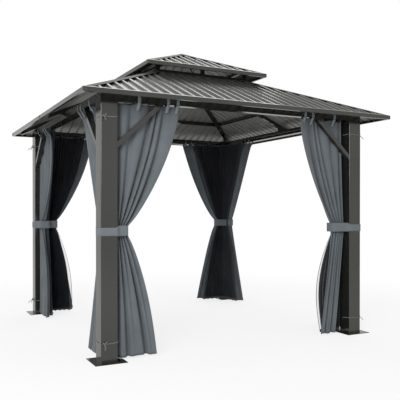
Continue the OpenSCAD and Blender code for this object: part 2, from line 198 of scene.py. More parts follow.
def smooth_path(points, steps):
    """A rounded path through a few points, by cutting its corners."""
    path = np.asarray(points, float)
    for _ in range(steps):
        first = (1 - CUT_SHARE) * path[:-1] + CUT_SHARE * path[1:]
        second = CUT_SHARE * path[:-1] + (1 - CUT_SHARE) * path[1:]
        middle = np.stack([first, second], 1).reshape(-1, 3)
        path = np.concatenate([path[:1], middle, path[-1:]])
    return path


# Material nodes

# Waves to a metre in the wave texture at a scale of 1
WAVES = 20 / (2 * math.pi)


def new_material(name):
    material = bpy.data.materials.new(name)
    material.use_nodes = True
    nodes = material.node_tree.nodes
    return material, nodes, material.node_tree.links, nodes["Principled BSDF"]


def noise(nodes, links, vector, scale, detail):
    node = nodes.new("ShaderNodeTexNoise")
    node.inputs["Scale"].default_value = scale
    node.inputs["Detail"].default_value = detail
    links.new(vector, node.inputs["Vector"])
    return node.outputs["Fac"]


def wave(nodes, links, vector, direction, length):
    """Even waves of one length along one direction."""
    node = nodes.new("ShaderNodeTexWave")
    node.bands_direction = direction
    node.inputs["Scale"].default_value = 1 / (WAVES * length)
    links.new(vector, node.inputs["Vector"])
    return node.outputs["Fac"]


def ramp(nodes, links, value, low, high, span=(0.3, 0.7)):
    """Colour that runs between two tones as a value does."""
    node = nodes.new("ShaderNodeValToRGB")
    for element, position, colour in zip(node.color_ramp.elements, span, (low, high)):
        element.position = position
        element.color = (*colour, 1)
    links.new(value, node.inputs["Fac"])
    return node.outputs["Color"]


def spread(nodes, links, value, low, high):
    """A value from 0 to 1 spread over another range."""
    node = nodes.new("ShaderNodeMapRange")
    node.inputs["To Min"].default_value = low
    node.inputs["To Max"].default_value = high
    links.new(value, node.inputs["Value"])
    return node.outputs["Result"]


def combine(nodes, links, first, second, operation="MULTIPLY"):
    node = nodes.new("ShaderNodeMath")
    node.operation = operation
    links.new(first, node.inputs[0])
    links.new(second, node.inputs[1])
    return node.outputs[0]


def bump(nodes, links, height, strength, distance, normal=None):
    node = nodes.new("ShaderNodeBump")
    node.inputs["Strength"].default_value = strength
    node.inputs["Distance"].default_value = distance
    links.new(height, node.inputs["Height"])
    if normal is not None:
        links.new(normal, node.inputs["Normal"])
    return node.outputs["Normal"]


# Paints

# Scale and detail of the noise in a paint: clouds of tone, patches of gloss, orange peel
PAINT_CLOUDS = (2.3, 4.0)
PAINT_PATCHES = (7.0, 3.0)
PAINT_PEEL = (520.0, 1.0)
# Strength and height of the orange peel
PEEL_BUMP = (0.04, 0.4 * MM)
# Strength of the mirror-like part of a paint, of the roof caps and of the base plates, and its colour
PAINT_SPECULAR = 0.85
CAP_SPECULAR = 0.3
PLATE_SPECULAR = 0.6
PAINT_TINT = (1.0, 1.0, 0.94, 1.0)


def paint(name, low, high, rough, specular=PAINT_SPECULAR):
    """Glossy coat: two close dark tones, a fine orange-peel grain and patches of different gloss."""
    material, nodes, links, shader = new_material(name)
    place_at = nodes.new("ShaderNodeTexCoord").outputs["Object"]
    cloud = noise(nodes, links, place_at, *PAINT_CLOUDS)
    links.new(ramp(nodes, links, cloud, low, high), shader.inputs["Base Color"])
    gloss = noise(nodes, links, place_at, *PAINT_PATCHES)
    links.new(spread(nodes, links, gloss, *rough), shader.inputs["Roughness"])
    peel = noise(nodes, links, place_at, *PAINT_PEEL)
    links.new(bump(nodes, links, peel, *PEEL_BUMP), shader.inputs["Normal"])
    shader.inputs["Specular IOR Level"].default_value = specular
    shader.inputs["Specular Tint"].default_value = PAINT_TINT
    return material


# Fabrics

# Length of one thread of woven cloth, and of one mesh of a net
THREAD = 1.5 * MM
MESH = 3.0 * MM
# Scale and detail of the noise in a fabric: uneven dye, and creases stretched along its height
FABRIC_DYE = (5.0, 3.0)
FABRIC_CREASE = (24.0, 2.0)
CREASE_STRETCH = (1, 1, 0.18)
# Strength and height of its threads and creases
WEAVE_BUMP = (0.35, 0.3 * MM)
CREASE_BUMP = (0.22, 6 * MM)
FABRIC_ROUGHNESS = 0.86
FABRIC_SPECULAR = 0.25
SHEEN_ROUGHNESS = 0.5
NET_CLOUDS = (4.0, 2.0)
NET_DARK_SHARE = 0.7
NET_ROUGHNESS = 0.8
NET_SPECULAR = 0.2


def fabric(name, low, high, sheen):
    """Woven polyester: crossing threads in the bump, uneven dye and a soft sheen."""
    material, nodes, links, shader = new_material(name)
    coords = nodes.new("ShaderNodeTexCoord")
    dye = noise(nodes, links, coords.outputs["Object"], *FABRIC_DYE)
    links.new(ramp(nodes, links, dye, low, high), shader.inputs["Base Color"])
    warp = wave(nodes, links, coords.outputs["UV"], "X", THREAD)
    weft = wave(nodes, links, coords.outputs["UV"], "Y", THREAD)
    weave = bump(nodes, links, combine(nodes, links, warp, weft), *WEAVE_BUMP)
    long_ways = nodes.new("ShaderNodeMapping")
    long_ways.inputs["Scale"].default_value = CREASE_STRETCH
    links.new(coords.outputs["Object"], long_ways.inputs["Vector"])
    crease = noise(nodes, links, long_ways.outputs["Vector"], *FABRIC_CREASE)
    links.new(bump(nodes, links, crease, *CREASE_BUMP, weave), shader.inputs["Normal"])
    shader.inputs["Roughness"].default_value = FABRIC_ROUGHNESS
    shader.inputs["Specular IOR Level"].default_value = FABRIC_SPECULAR
    shader.inputs["Sheen Weight"].default_value = sheen
    shader.inputs["Sheen Roughness"].default_value = SHEEN_ROUGHNESS
    return material


def netting_fabric(name, colour, cover):
    """Fine black mesh: threads with open holes between them, and how much the holes and threads cover."""
    material, nodes, links, shader = new_material(name)
    coords = nodes.new("ShaderNodeTexCoord")
    warp = wave(nodes, links, coords.outputs["UV"], "X", MESH)
    weft = wave(nodes, links, coords.outputs["UV"], "Y", MESH)
    threads = combine(nodes, links, warp, weft, "MAXIMUM")
    links.new(spread(nodes, links, threads, *cover), shader.inputs["Alpha"])
    cloud = noise(nodes, links, coords.outputs["Object"], *NET_CLOUDS)
    darker = tuple(NET_DARK_SHARE * c for c in colour)
    links.new(ramp(nodes, links, cloud, darker, colour), shader.inputs["Base Color"])
    shader.inputs["Roughness"].default_value = NET_ROUGHNESS
    shader.inputs["Specular IOR Level"].default_value = NET_SPECULAR
    return material


# Materials: two tones and the range of roughness of a paint, two tones and the sheen of a fabric

FRAME_PAINT = paint("frame_paint", (0.015, 0.015, 0.014), (0.019, 0.019, 0.018), (0.10, 0.17))
ROOF_PAINT = paint("roof_paint", (0.036, 0.036, 0.035), (0.044, 0.044, 0.043), (0.22, 0.30))
CAP_PAINT = paint(
    "roof_cap_paint", (0.040, 0.040, 0.039), (0.050, 0.050, 0.048), (0.48, 0.56), specular=CAP_SPECULAR
)
BACK_COAT = paint("roof_back_coat", (0.150, 0.150, 0.145), (0.180, 0.180, 0.174), (0.30, 0.40))
PLATE_PAINT = paint(
    "plate_paint", (0.008, 0.008, 0.008), (0.012, 0.012, 0.012), (0.12, 0.20), specular=PLATE_SPECULAR
)
SCREW_METAL = paint("screw_metal", (0.030, 0.030, 0.030), (0.050, 0.050, 0.050), (0.25, 0.35))
CURTAIN_FABRIC = fabric("curtain_fabric", (0.105, 0.119, 0.130), (0.126, 0.142, 0.155), 0.12)
BAND_FABRIC = fabric("band_fabric", (0.130, 0.148, 0.160), (0.146, 0.165, 0.178), 0.12)
# The straps' cloth is the band cloth made paler: painted light that makes up for the shade of the eave
# over them
STRAP_FABRIC_PAINTED_LIGHT = fabric("strap_fabric_painted_light", (0.190, 0.213, 0.230), (0.212, 0.237, 0.254), 0.12)
STRING_FABRIC = fabric("string_fabric", (0.150, 0.165, 0.178), (0.185, 0.203, 0.217), 0.1)
NET_FABRIC = netting_fabric("net_fabric", (0.036, 0.038, 0.043), (0.84, 0.98))
NET_SINGLE = netting_fabric("net_single", (0.030, 0.032, 0.037), (0.08, 0.24))
NET_EDGE = fabric("net_edge", (0.070, 0.075, 0.080), (0.090, 0.096, 0.102), 0.1)

# Faces of a roof sheet that look down more than this carry the back coat
BACK_COAT_SLOPE = -0.2


def paint_of(node_name):
    if "sheet" in node_name:
        return ROOF_PAINT
    if "cap" in node_name:
        return CAP_PAINT
    return PLATE_PAINT if node_name == "base_plates" else FRAME_PAINT


def dress_frame():
    """Every solid of the frame gets its paint, and the roof sheets a paler back coat underneath."""
    for name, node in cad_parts.items():
        node.data.materials.clear()
        node.data.materials.append(paint_of(name))
        if "sheet" in name:
            node.data.materials.append(BACK_COAT)
            for face in node.data.polygons:
                face.material_index = int(face.normal.z < BACK_COAT_SLOPE)


def finish_piece(piece, material):
    """Body of a piece, and its material where it has none yet."""
    if not piece.data.materials:
        piece.data.materials.append(material)
    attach(piece, "root")
    return piece


def thicken(piece, thickness):
    """Gives a sheet its thickness, half to each side."""
    thick = piece.modifiers.new("thickness", "SOLIDIFY")
    thick.thickness = thickness
    thick.offset = 0


# Gathered cloth

# Shares of the width at which the valleys between folds lie: at the header, in the band, at the hem
CURTAIN_VALLEY_SHARES = (
    (0.03, 0.24, 0.56, 0.64, 0.74),
    (0.05, 0.24, 0.42, 0.58, 0.80),
    (0.03, 0.31, 0.48, 0.76, 0.92),
)
# How narrow each valley is there: 1 is a plain wave, more is a tight crease between broad folds
CURTAIN_SHARPNESS = (
    (4.0, 1.5, 5.0, 7.0, 5.0),
    (3.0, 3.0, 4.0, 4.0, 3.0),
    (3.0, 2.0, 1.0, 1.6, 1.0),
)
# How deep each valley is, as a share of the deepest
CURTAIN_DEPTH_SHARES = (
    (0.7, 0.5, 1.0, 1.0, 1.0),
    (0.9, 1.0, 0.9, 1.0, 1.0),
    (0.6, 0.9, 0.0, 0.9, 0.1),
)
# The same for the front right curtain, which falls in fewer and deeper folds below the band
FEW_VALLEY_SHARES = (*CURTAIN_VALLEY_SHARES[:2], (0.06, 0.27, 0.46, 0.72, 0.92))
FEW_DEPTH_SHARES = (*CURTAIN_DEPTH_SHARES[:2], (0.0, 1.0, 0.0, 1.0, 0.1))
NET_FOLDS = 15
NET_SHARPNESS = 1.2
# Edges of the cloth along the bay, from the post: at the header, in the band, at the hem
CURTAIN_NEAR = (0.010, 0.006, 0.008)
CURTAIN_FAR = (0.566, 0.102, 0.352)
NET_NEAR = (0.006, 0.006, 0.006)
NET_FAR = (0.440, 0.096, 0.300)
# Depth of the middle of the cloth from the outside face of the post, and the most half depth of a fold
CURTAIN_MID = (0.079, 0.084, 0.064)
CURTAIN_DEPTH = (0.021, 0.033, 0.028)
NET_MID = (0.126, 0.121, 0.128)
NET_DEPTH = (0.019, 0.016, 0.024)
# Room between the top of the cloth and the beam or the rail
CURTAIN_GAP = 2 * MM
NET_GAP = 4 * MM
CURTAIN_THICK = 1 * MM
# How far the near edge of a net turns in, round the inner corner of the post
NET_WRAP = 0.024
# The most that a valley strays from its place, as a share of the width
CURTAIN_JITTER = 0.012
NET_JITTER = 0.016
# Shape of the far edge: how fast it leaves the band on its way up to the header and down to the hem,
# and the share of a plain quarter wave in its upper part
SWEEP = 0.62
FLARE = 0.75
DRAPE = 0.5

# Part of a fold's depth that is a plain wave whatever its sharpness
FOLD_ROUNDNESS = 0.3
# How fast folds that end between band and hem fade, and how fast the valleys move to their next places
FOLD_FADE = 0.4
VALLEY_BEND = 0.8
# The most cloth that a row of a curtain's folds takes up, and the steps in which its depth is found
FOLD_WIDTH = 0.75
FOLD_STEPS = 14
# Parts of a fold that are left at the near and the far edge of the cloth
EDGE_FOLDS = (0.46, 0.40)
# Unevenness of the folds down the cloth: its mean, then the share and the radians a metre of two waves
UNEVEN_MEAN = 0.84
UNEVEN_WAVES = ((0.11, 3.1), (0.05, 7.3))
# Slow drift of the whole cloth in and out: share of a fold, radians a fold and radians a metre of height
DRIFT = (0.12, 1.9, 2.3)

# Places and width of the straps along the bay
STRAP_PLACES = (0.183, 0.436, 0.522)
STRAP_W = 0.027
# How far a strap draws the cloth outward below the beam, over what width and what height
PULL = 0.046
PULL_RUN = 0.030
PULL_FALL = 0.13
# Sag of the header between straps: the most of it, as a share of their distance, and how fast it fades
HEADER_SAG = 0.011
HEADER_SAG_SHARE = 0.16
HEADER_SAG_FADE = 9
# Where the last sag would end, past the far edge
HEADER_OVERRUN = 0.020
# Uneven hem: its rise, radians a fold and how fast it fades upward
HEM_RISE = 3 * MM
HEM_RUN = 2.1
HEM_FADE = 6

# Rows of points in the cloth: close together below the header, then even down to the hem
HEAD_ROWS = 14
HEAD_H = 0.14
BODY_ROWS = 70
# Columns of points in a curtain, in a net and in the single layer outside the folds of a net
CURTAIN_COLS = 160
NET_COLS = 200
SINGLE_COLS = 30
# Columns and rows of faces in the sewn edge of a net
EDGE_COLS = 3
EDGE_ROWS = 1
# First seeds of the random draws
CURTAIN_SEED = 11
NET_SEED = 41

# What differs from corner to corner, by corner and side of the corner
CURTAIN_CHANGES = {
    ("front_left", 0): {"far": (0.566, 0.102, 0.346), "swell": (0.0, 0.022)},
    ("front_left", 1): {"far": (0.575, 0.070, 0.345), "sweep": 0.90, "flare": 1.2, "drape": 0.0},
    ("front_right", 1): {
        "near": (0.060, 0.030, 0.150), "far": (0.555, 0.170, 0.318), "sweep": 0.68, "flare": 1.0,
        "depth": (0.026, 0.033, 0.036), "shares": FEW_VALLEY_SHARES, "amount": FEW_DEPTH_SHARES,
    },
    ("back_right", 0): {"far": (0.566, 0.092, 0.350), "sweep": 0.70, "drape": 0.2},
    ("back_right", 1): {"far": (0.590, 0.080, 0.345), "sweep": 0.90, "flare": 1.1, "drape": 0.0},
    ("back_left", 0): {"near": (0.030, 0.006, 0.070), "far": (0.530, 0.120, 0.450), "swell": (0.13, 0.10)},
    ("back_left", 1): {"far": (0.560, 0.122, 0.330)},
}
NET_CHANGES = {
    ("front_right", 1): {"far": (0.440, 0.120, 0.270), "swell": (0.0, 0.10), "gather": 0.87},
    ("back_right", 0): {"far": (0.440, 0.084, 0.300)},
    ("back_right", 1): {"far": (0.440, 0.084, 0.300)},
    ("back_left", 1): {
        "far": (0.525, 0.105, 0.300), "sweep": SWEEP, "drape": DRAPE, "swell": (0.0, 0.05), "gather": 0.88,
    },
}


def curtain_form(**changes):
    """All that shapes one curtain, with what differs from the plain one."""
    form = {
        "top": beam_low.z - CURTAIN_GAP,
        "near": CURTAIN_NEAR,
        "far": CURTAIN_FAR,
        "mid": CURTAIN_MID,
        "depth": CURTAIN_DEPTH,
        "shares": CURTAIN_VALLEY_SHARES,
        "sharpness": CURTAIN_SHARPNESS,
        "amount": CURTAIN_DEPTH_SHARES,
        "jitter": CURTAIN_JITTER,
        "sweep": SWEEP,
        "flare": FLARE,
        "drape": DRAPE,
        "swell": (0.0, 0.0),
        "wrap": 0.0,
        "pull": PULL,
        "width": FOLD_WIDTH,
        "columns": CURTAIN_COLS,
        "single": False,
    }
    form.update(changes)
    return form


def net_form(gather=1.0, **changes):
    """A net whose folds lie in the given near share of its width; the rest is a single layer."""
    even = gather * (np.arange(NET_FOLDS) + 0.5) / NET_FOLDS
    form = curtain_form(
        top=rail_low.z - NET_GAP,
        near=NET_NEAR,
        far=NET_FAR,
        mid=NET_MID,
        depth=NET_DEPTH,
        shares=(even, even, even),
        sharpness=[np.full(NET_FOLDS, NET_SHARPNESS)] * 3,
        amount=[np.ones(NET_FOLDS)] * 3,
        jitter=NET_JITTER * gather,
        sweep=1.0,
        drape=0.0,
        wrap=NET_WRAP,
        pull=0.0,
        width=NET_FLAT[0],
        columns=NET_COLS,
        single=gather < 1,
    )
    form.update(changes)
    return form


def form_of_curtain(corner, side):
    return curtain_form(**CURTAIN_CHANGES.get((corner, side), {}))


def rise_and_fall(z, top):
    """Shares of the way from the band up to the header, and from the band down to the hem, at a height."""
    rise = np.clip((z - BAND_TOP) / (top - BAND_TOP), 0, 1)
    fall = np.clip((BAND_LOW - z) / (BAND_LOW - HEM_Z), 0, 1)
    return rise, fall


def level(z, values, top, power=1.0):
    """Value at height z, blended from header, band and hem values."""
    rise, fall = rise_and_fall(z, top)
    head, waist, hem = (np.asarray(v, float) for v in values)
    return waist + (head - waist) * rise**power + (hem - waist) * fall**power


def outline(z, values, form, swell=(0.0, 0.0)):
    """Edge of the gathered cloth at height z: swept to the band, then flaring to the hem."""
    rise, fall = rise_and_fall(z, form["top"])
    head, waist, hem = values
    swept = form["drape"] * np.sin(QUARTER * rise) + (1 - form["drape"]) * rise ** form["sweep"]
    edge = waist + (head - waist) * swept + (hem - waist) * fall ** form["flare"]
    return edge + swell[0] * np.sin(math.pi * rise) + swell[1] * np.sin(math.pi * fall)


def fold_depth(phase, sharpness):
    """0 on the broad front of a fold, 1 at the bottom of the valley between two folds."""
    wave_depth = (1 + np.cos(2 * math.pi * phase)) / 2
    return FOLD_ROUNDNESS * wave_depth + (1 - FOLD_ROUNDNESS) * wave_depth**sharpness


def solve_depth(u, shape, width, most):
    """Half depth of the folds at which a row of cloth has the given length, or the most that it may be."""
    low, high = 0.0, most
    for _ in range(FOLD_STEPS):
        middle = (low + high) / 2
        length = np.hypot(np.diff(u), np.diff(2 * middle * shape)).sum()
        low, high = (middle, high) if length < width else (low, middle)
    return low


def header_drop(u, supports):
    """Sag of the header between the straps that carry it."""
    left = np.searchsorted(supports, u, side="right") - 1
    left = np.clip(left, 0, len(supports) - 2)
    start, end = supports[left], supports[left + 1]
    share = np.clip((u - start) / (end - start), 0, 1)
    return 4 * share * (1 - share) * np.minimum(HEADER_SAG, HEADER_SAG_SHARE * (end - start))


def strap_pull(u, below):
    """Share by which the straps draw the cloth outward, at a distance below the header."""
    near = sum(np.exp(-(((u - strap) / PULL_RUN) ** 2)) for strap in STRAP_PLACES)
    return near * np.clip(1 - below / PULL_FALL, 0, 1) ** 2


def row_heights(top):
    head = np.linspace(top, top - HEAD_H, HEAD_ROWS, endpoint=False)
    return np.concatenate([head, np.linspace(top - HEAD_H, HEM_Z, BODY_ROWS)])


def fold_phases(folds, columns, single):
    """Places of the columns of points, counted in folds, with a row of them in a single outer layer."""
    start, end = -EDGE_FOLDS[0], folds - EDGE_FOLDS[1]
    if not single:
        return np.linspace(start, end, columns)
    inner = np.linspace(start, folds - 1, columns - SINGLE_COLS, endpoint=False)
    return np.concatenate([inner, np.linspace(folds - 1, end, SINGLE_COLS)])


def cloth_row(form, z, phase, tables, wobble):
    """Points of one row of gathered cloth at height z."""
    folds, top = len(tables[0]), form["top"]
    knots = np.concatenate([phase[:1], np.arange(folds), phase[-1:]])
    index = np.clip(np.round(phase), 0, folds - 1).astype(int)
    near = outline(z, form["near"], form)
    far = outline(z, form["far"], form, form["swell"])
    shares = np.concatenate([[0], level(z, tables, top, VALLEY_BEND), [1]])
    u = near + (far - near) * np.interp(phase, knots, shares)
    waves = (share * np.sin(run * z + start) for (share, run), start in zip(UNEVEN_WAVES, wobble))
    amount = ((UNEVEN_MEAN + sum(waves)) * level(z, form["amount"], top, FOLD_FADE))[index]
    shape = fold_depth(phase, level(z, form["sharpness"], top)[index]) * amount
    half = solve_depth(u, shape, form["width"], level(z, form["depth"], top))
    drift = DRIFT[0] * half * np.sin(DRIFT[1] * phase + DRIFT[2] * z + wobble[2][0])
    wrap = form["wrap"] * np.exp(-(u - near) / form["wrap"]) if form["wrap"] else 0
    pull = form["pull"] * strap_pull(u, top - z)
    w = level(z, form["mid"], top) - half + 2 * half * shape + drift + wrap - pull
    return np.stack([u, w, np.full_like(u, z)], -1)


def cloth_grid(form, seed):
    """Points (along, inward, height) of one gathered, tied-back sheet, row by row from the header."""
    draw = np.random.default_rng(seed)
    folds = len(form["shares"][0])
    phase = fold_phases(folds, form["columns"], form["single"])
    wobble = draw.uniform(0, 2 * math.pi, (3, folds))
    tables = [np.asarray(t) + form["jitter"] * draw.uniform(-1, 1, folds) for t in form["shares"]]
    heights = row_heights(form["top"])
    grid = np.stack([cloth_row(form, z, phase, tables, wobble) for z in heights])
    supports = np.array([form["near"][0], *STRAP_PLACES, form["far"][0] + HEADER_OVERRUN])
    share = ((heights - HEM_Z) / (form["top"] - HEM_Z))[:, None]
    grid[..., 2] -= header_drop(grid[0, :, 0], supports) * share**HEADER_SAG_FADE
    grid[..., 2] += (1 - share) ** HEM_FADE * HEM_RISE * (1 + np.sin(HEM_RUN * phase + wobble[2][1]))
    return grid


def cloth_piece(name, form, seed, turn, side, flat):
    """Mesh of one gathered sheet, with its cut size as the coordinates of the weave."""
    grid = place(cloth_grid(form, seed), turn, side)
    rows, cols = grid.shape[:2]
    heights = row_heights(form["top"])
    faces = grid_faces(rows, cols)
    if side:
        faces = [f[::-1] for f in faces]
    across = np.tile(np.linspace(0, flat[0], cols), rows)
    down = np.repeat(flat[1] * (heights - HEM_Z) / (heights[0] - HEM_Z), cols)
    return mesh_object(name, grid.reshape(-1, 3), faces, np.stack([across, down], -1))


def make_curtain(corner, turn, side):
    form = form_of_curtain(corner, side)
    seed = CURTAIN_SEED + 2 * turn + side
    piece = cloth_piece(f"curtain_{corner}_{side}", form, seed, turn, side, CURTAIN_FLAT)
    thicken(piece, CURTAIN_THICK)
    return finish_piece(piece, CURTAIN_FABRIC)


def make_net(corner, turn, side):
    form = net_form(**NET_CHANGES.get((corner, side), {}))
    seed = NET_SEED + 2 * turn + side
    piece = cloth_piece(f"net_{corner}_{side}", form, seed, turn, side, NET_FLAT)
    for material in (NET_FABRIC, NET_EDGE, NET_SINGLE):
        piece.data.materials.append(material)
    cols = form["columns"] - 1
    rows = len(piece.data.polygons) // cols
    single = cols - SINGLE_COLS if form["single"] else cols
    for face in piece.data.polygons:
        row, col = divmod(face.index, cols)
        at_edge = min(col, cols - 1 - col) < EDGE_COLS or row < EDGE_ROWS or row >= rows - EDGE_ROWS
        face.material_index = 1 if at_edge else 2 * int(col >= single)
    return finish_piece(piece, NET_FABRIC)


# Straps

STRAP_THICK = 1.6 * MM
STRAP_GAP = 2 * MM
STRAP_ROUND = 2
# Ends of a strap in front of and behind the cloth: inward from the outside face, and down from the beam
STRAP_FRONT = ((40 * MM, 60 * MM), (14 * MM, 18 * MM))
STRAP_BACK = ((40 * MM, 4 * MM), (22 * MM, 24 * MM))


def strap_loop():
    """Way of a strap round the beam, as inward and height."""
    outside, inside = -STRAP_GAP, BEAM_W + STRAP_GAP
    low, high = beam_low.z, beam_high.z + STRAP_GAP
    front = [(inward, low - down) for inward, down in STRAP_FRONT]
    back = [(inward, low - down) for inward, down in STRAP_BACK]
    over = [(outside, low + STRAP_GAP), (outside, high), (inside, high), (inside, low - STRAP_GAP)]
    return front + over + back


def make_straps(corner, turn):
    """Cloth loops over the beam that carry the two curtains of a corner."""
    parts = Parts()
    for side in (0, 1):
        across = place([[1, 0, 0]], turn, side)[0] - place([[0, 0, 0]], turn, side)[0]
        for u in STRAP_PLACES:
            loop = smooth_path([(u, inward, z) for inward, z in strap_loop()], STRAP_ROUND)
            parts.ribbon(place(loop, turn, side), across, STRAP_W, STRAP_THICK)
    return finish_piece(parts.piece(f"curtain_straps_{corner}"), STRAP_FABRIC_PAINTED_LIGHT)


# Tie bands

# Height of the band where it lies on the post, and on the gathered cloth
BAND_ON_POST = (0.988, 1.053)
BAND_ON_CLOTH = (BAND_LOW, BAND_TOP)
BAND_THICK = 1.8 * MM
BAND_GAP = 2.2 * MM
BAND_ROWS = 7
BAND_ROUND = 3
# Room between the gathered cloth and the band, and the small waves that the folds press into it
BAND_ROOM = 4 * MM
BAND_WAVE = 1.2 * MM
BAND_WAVE_RUN = 17 * MM
# Where the band leaves the post, before its corner
BAND_LEAVE = 4 * MM
# Way of the band over the cloth, as along and inward: from the post, at a share of the way, and back from
# the far end of the cloth; then its last point behind the cloth
BAND_FROM_POST = ((6 * MM, 6 * MM), (22 * MM, 22 * MM))
BAND_HALF_WAY = (0.6, 27 * MM)
BAND_FROM_END = ((9 * MM, 31 * MM), (0, 50 * MM), (0, 110 * MM), (6 * MM, 140 * MM))
BAND_BEHIND = (30 * MM, 166 * MM)


def band_path(waist):
    """Half of the band in plan, from the outer corner of the post: along, inward and 1 on cloth."""
    end = waist + BAND_ROOM
    on_post = [-POST_W - BAND_GAP, -POST_W / 2, -BAND_LEAVE]
    on_cloth = [
        *BAND_FROM_POST,
        (BAND_HALF_WAY[0] * end, BAND_HALF_WAY[1]),
        *((end - back, inward) for back, inward in BAND_FROM_END),
        BAND_BEHIND,
    ]
    return [(u, -BAND_GAP, 0) for u in on_post] + [(u, w, 1) for u, w in on_cloth]


def band_side(corner, turn, side):
    """One half of the band as points in plan, with its share of the cloth's height."""
    waist = form_of_curtain(corner, side)["far"][1]
    half = smooth_path(band_path(waist), BAND_ROUND)[1:-1]
    ripple = BAND_WAVE * np.sin(2 * math.pi * half[:, 0] / BAND_WAVE_RUN) * half[:, 2]
    plan = np.stack([half[:, 0], half[:, 1] + ripple, np.zeros(len(half))], -1)
    return place(plan, turn, side), half[:, 2]


def make_band(corner, turn):
    """Cloth band round a post and the gathered cloth on both sides of it."""
    front, front_wide = band_side(corner, turn, 0)
    back, back_wide = band_side(corner, turn, 1)
    ring = np.concatenate([front, back[::-1]])
    wide = np.concatenate([front_wide, back_wide[::-1]])
    low = BAND_ON_POST[0] + (BAND_ON_CLOTH[0] - BAND_ON_POST[0]) * wide
    high = BAND_ON_POST[1] + (BAND_ON_CLOTH[1] - BAND_ON_POST[1]) * wide
    along = np.concatenate([[0], np.cumsum(np.linalg.norm(np.diff(ring, axis=0), axis=1))])
    points, uvs = [], []
    for share in np.linspace(0, 1, BAND_ROWS):
        z = low + (high - low) * share
        points.append(np.stack([ring[:, 0], ring[:, 1], z], -1))
        uvs.append(np.stack([along, z], -1))
    faces = grid_faces(BAND_ROWS, len(ring), closed=True)
    piece = mesh_object(f"tie_band_{corner}", np.concatenate(points), faces, np.concatenate(uvs))
    thicken(piece, BAND_THICK)
    piece["band_length"] = float(along[-1])
    return finish_piece(piece, BAND_FABRIC)


# Tie strings

STRING_R = 2.6 * MM
STRING_SIDES = 8
STRING_GAP = STRING_R + 0.3 * MM
STRING_Z = (1.922, 0.152)
STRING_ROUND = 3
# How far a string hangs through on a face of the post, and rises at the edge of the face
STRING_DROOP = 5 * MM
STRING_RISE = 2 * MM
# Its end in the curtain, in millimetres from the corner of the post: along, inward and up
STRING_END = ((26, 66, -4), (8, 24, 0))
# The bow: its place from the outer edge of the post and below the string, and the size of its knot
BOW_IN = 25 * MM
BOW_DROP = 2 * MM
KNOT_R = 5 * MM
KNOT_ROWS = 7
KNOT_SPAN = 0.9 * QUARTER
KNOT_SIDES = 10
# Two loops and two tails of the bow, in millimetres from its knot
BOW_PATHS = (
    ((0, 0, 0), (8, -5, 12), (14, -6, 21), (17, -5, 16), (10, -3, 6), (0, -1, 0)),
    ((0, 0, 0), (-5, -4, 7), (-10, -6, 10), (-12, -5, 6), (-7, -3, 2), (0, -1, 0)),
    ((0, -1, 0), (-3, -14, -6), (-6, -34, -18), (-8, -48, -38)),
    ((0, -1, 0), (4, -8, -10), (8, -15, -22), (8, -18, -36)),
)


def string_path(z):
    """Way of a string from one curtain round the outside of the post to the other, alike on both faces."""
    half = [(u * MM, w * MM, z + rise * MM) for u, w, rise in STRING_END]
    half += [(STRING_GAP, -STRING_GAP, z + STRING_RISE), (-POST_W / 2, -STRING_GAP, z - STRING_DROOP)]
    corner = (-POST_W - STRING_GAP, -STRING_GAP, z)
    other_half = [(w - POST_W, u + POST_W, height) for u, w, height in reversed(half)]
    return smooth_path([*half, corner, *other_half], STRING_ROUND)


def make_strings(corner, turn):
    """Thin ties from the curtain edges round the post, each with a bow and two tails."""
    parts = Parts()
    bends = np.linspace(-KNOT_SPAN, KNOT_SPAN, KNOT_ROWS)
    knot = [(KNOT_R * math.cos(bend), KNOT_R * math.sin(bend)) for bend in bends]
    for z in STRING_Z:
        parts.tube(place(string_path(z), turn, 0), STRING_R, STRING_SIDES)
        tie = np.array((BOW_IN - POST_W, -STRING_GAP - STRING_R, z - BOW_DROP))
        for path in BOW_PATHS:
            route = smooth_path(tie + np.array(path) * MM, STRING_ROUND)
            parts.tube(place(route, turn, 0), STRING_R, STRING_SIDES)
        parts.revolve(knot, place([tie], turn, 0)[0], (0, 0, 1), KNOT_SIDES)
    return finish_piece(parts.piece(f"tie_strings_{corner}"), STRING_FABRIC)


# Net hooks

HOOK_R = 1.8 * MM
HOOK_SIDES = 6
HOOK_ROUND = 2
HOOK_SHARES = (0.06, 0.22, 0.38, 0.54, 0.70, 0.86, 0.98)
RAIL_HALF = 10 * MM
# Way of a hook from the net over the rail, in millimetres from the low middle of the rail: inward and up
HOOK_PATH = ((0, -18), (9, -12), (13, 2), (13, 20), (0, 22), (-13, 20), (-13, 4))


def make_hooks(corner, turn):
    """Small hooks that hang the two nets of a corner on the rails."""
    parts = Parts()
    rail_mid = POST_OUT + rail_low.y + RAIL_HALF
    for side in (0, 1):
        for share in HOOK_SHARES:
            u = NET_NEAR[0] + (NET_FAR[0] - NET_NEAR[0]) * share
            hook = [(u, rail_mid + inward * MM, rail_low.z + up * MM) for inward, up in HOOK_PATH]
            parts.tube(place(smooth_path(hook, HOOK_ROUND), turn, side), HOOK_R, HOOK_SIDES)
    return finish_piece(parts.piece(f"net_hooks_{corner}"), SCREW_METAL)


# Screws

SCREW_SIDES = 10
# Pan head at the covers of the eaves, and washer head on the roof: radius and height in millimetres
SCREW_HEAD = ((5.0, 0.0), (5.0, 0.8), (4.2, 1.9), (2.6, 2.5), (2.0, 2.5), (1.6, 1.5))
ROOF_SCREW_HEAD = ((9.0, -1.0), (9.0, 1.2), (6.0, 1.8), (6.0, 5.0), (4.8, 6.0))
# Places on the trim: from the middle of a joint cover, in from the corner, and up from the low edge
JOINT_SCREW_GAP = 14 * MM
CORNER_SCREW_IN = 24 * MM
SCREW_UP = 18 * MM
# How far the covers of corners and joints stand out from the face of the trim
COVER_OUT = 1.8 * MM
# Sheets with a screw on their middle rib, and its distance from the middle of the plan
ROOF_SCREWS = (("lower_sheet_front", 1.04), ("upper_sheet_front", 0.32))


def in_metres(profile):
    return [(radius * MM, height * MM) for radius, height in profile]


